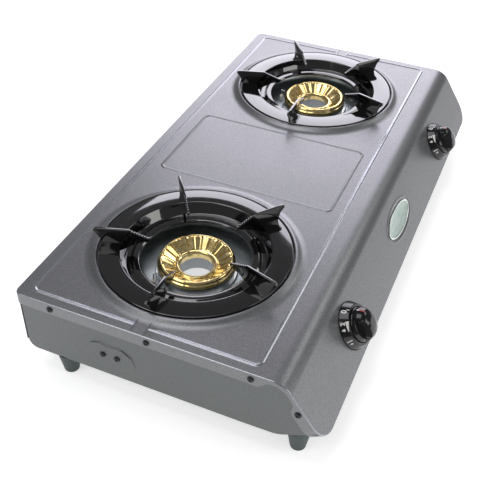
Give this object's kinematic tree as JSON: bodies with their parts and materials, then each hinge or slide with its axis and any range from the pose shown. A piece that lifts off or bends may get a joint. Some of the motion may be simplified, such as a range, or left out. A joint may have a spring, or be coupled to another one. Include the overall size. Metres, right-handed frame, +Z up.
{
  "type": "two-burner table-top gas cooker",
  "caption": "Low table-top gas cooker in grey sheet metal with a sloped front, black enamelled pan supports, brass slotted burner caps and round knobs.",
  "frame": {"origin": "on the ground under the middle of the overall box", "axes": "+X along the width, from the left end to the right end as the cook faces the knobs; -Y towards the cook; +Z up"},
  "size_m": [0.704, 0.4002, 0.137],
  "materials": {
    "aluminium_tube": "drawn",
    "badge_metal": "anodised",
    "black_screw": "black zinc",
    "body_paint": "satin metallic grey",
    "cap_brass": "polished",
    "cast_aluminium": "die cast",
    "electrode_ceramic": "glazed",
    "enamel": "gloss black vitreous enamel",
    "end_paint": "satin metallic grey",
    "fitting_brass": "turned",
    "foot_rubber": "moulded",
    "igniter_plastic": "moulded",
    "knob_plastic": "gloss black",
    "lead_rubber": "silicone rubber",
    "polished_steel": "mirror polished",
    "spring_steel": "drawn",
    "zinc_steel": "zinc plated"
  },
  "bodies": {
    "housing": {"top_panel": "body_paint", "back_panel": "end_paint", "burner_rail": "zinc_steel", "gas_pipe": "aluminium_tube", "gas_inlet": "fitting_brass", "inlet_nut": "fitting_brass", "badge": "badge_metal", "foot_screws": "zinc_steel", "flange_screws": "black_screw", "rail_screws": "black_screw", "burner_screws": "zinc_steel", "clamp_screws": "zinc_steel", "back_screws": "black_screw", "left_side_panel": "end_paint", "left_burner_body": "cast_aluminium", "left_drip_tray": "polished_steel", "left_valve_body": "cast_aluminium", "left_pipe_clamp": "zinc_steel", "left_valve_cap": "fitting_brass", "left_return_spring": "spring_steel", "left_jet": "fitting_brass", "left_dial_ring": "knob_plastic", "left_insulator": "electrode_ceramic", "left_electrode_pin": "zinc_steel", "left_igniter": "igniter_plastic", "left_igniter_lead": "lead_rubber", "left_back_foot": "foot_rubber", "left_front_foot": "foot_rubber", "right_side_panel": "end_paint", "right_burner_body": "cast_aluminium", "right_drip_tray": "polished_steel", "right_valve_body": "cast_aluminium", "right_pipe_clamp": "zinc_steel", "right_valve_cap": "fitting_brass", "right_return_spring": "spring_steel", "right_jet": "fitting_brass", "right_dial_ring": "knob_plastic", "right_insulator": "electrode_ceramic", "right_electrode_pin": "zinc_steel", "right_igniter": "igniter_plastic", "right_igniter_lead": "lead_rubber", "right_back_foot": "foot_rubber", "right_front_foot": "foot_rubber"},
    "left_pan_support": {"left_pan_support": "enamel"},
    "left_burner_cap": {"left_burner_cap": "cap_brass"},
    "left_valve_plug": {"left_valve_plug": "fitting_brass"},
    "left_knob": {"left_spindle": "zinc_steel", "left_knob": "knob_plastic"},
    "left_press_collar": {"left_press_collar": "fitting_brass"},
    "left_air_shutter": {"left_air_shutter": "zinc_steel"},
    "right_pan_support": {"right_pan_support": "enamel"},
    "right_burner_cap": {"right_burner_cap": "cap_brass"},
    "right_valve_plug": {"right_valve_plug": "fitting_brass"},
    "right_knob": {"right_spindle": "zinc_steel", "right_knob": "knob_plastic"},
    "right_press_collar": {"right_press_collar": "fitting_brass"},
    "right_air_shutter": {"right_air_shutter": "zinc_steel"}
  },
  "joints": [
    {"name": "left_pan_support_lift", "type": "slide", "parent": "housing", "child": "left_pan_support", "axis": [0, 0, 1], "range_m": [0, 0.08]},
    {"name": "left_burner_cap_lift", "type": "slide", "parent": "housing", "child": "left_burner_cap", "axis": [0, 0, 1], "range_m": [0, 0.06]},
    {"name": "left_knob_press", "type": "slide", "parent": "housing", "child": "left_press_collar", "axis": [0, 0.829, -0.5592], "range_m": [0, 0.0035], "stiffness_N_per_m": 1200, "springref_m": -0.003, "deforming": ["left_return_spring"]},
    {"name": "left_knob_turn", "type": "hinge", "parent": "left_press_collar", "child": "left_knob", "pos_m": [-0.206, -0.16811, 0.07213], "axis": [0, -0.829, 0.5592], "range_deg": [0, 180]},
    {"name": "left_valve_turn", "type": "hinge", "parent": "housing", "child": "left_valve_plug", "pos_m": [-0.206, -0.16811, 0.07213], "axis": [0, -0.829, 0.5592], "range_deg": [0, 180]},
    {"name": "left_air_shutter_turn", "type": "hinge", "parent": "housing", "child": "left_air_shutter", "pos_m": [-0.206, -0.09588, 0.06094], "axis": [0, 1, 0], "range_deg": [0, 60]},
    {"name": "right_pan_support_lift", "type": "slide", "parent": "housing", "child": "right_pan_support", "axis": [0, 0, 1], "range_m": [0, 0.08]},
    {"name": "right_burner_cap_lift", "type": "slide", "parent": "housing", "child": "right_burner_cap", "axis": [0, 0, 1], "range_m": [0, 0.06]},
    {"name": "right_knob_press", "type": "slide", "parent": "housing", "child": "right_press_collar", "axis": [0, 0.829, -0.5592], "range_m": [0, 0.0035], "stiffness_N_per_m": 1200, "springref_m": -0.003, "deforming": ["right_return_spring"]},
    {"name": "right_knob_turn", "type": "hinge", "parent": "right_press_collar", "child": "right_knob", "pos_m": [0.206, -0.16811, 0.07213], "axis": [0, -0.829, 0.5592], "range_deg": [0, 180]},
    {"name": "right_valve_turn", "type": "hinge", "parent": "housing", "child": "right_valve_plug", "pos_m": [0.206, -0.16811, 0.07213], "axis": [0, -0.829, 0.5592], "range_deg": [0, 180]},
    {"name": "right_air_shutter_turn", "type": "hinge", "parent": "housing", "child": "right_air_shutter", "pos_m": [0.206, -0.09588, 0.06094], "axis": [0, 1, 0], "range_deg": [0, 60]}
  ],
  "couplings": [
    {"joint": "left_valve_turn", "follows": "left_knob_turn", "ratio": 1},
    {"joint": "right_valve_turn", "follows": "right_knob_turn", "ratio": 1}
  ]
}
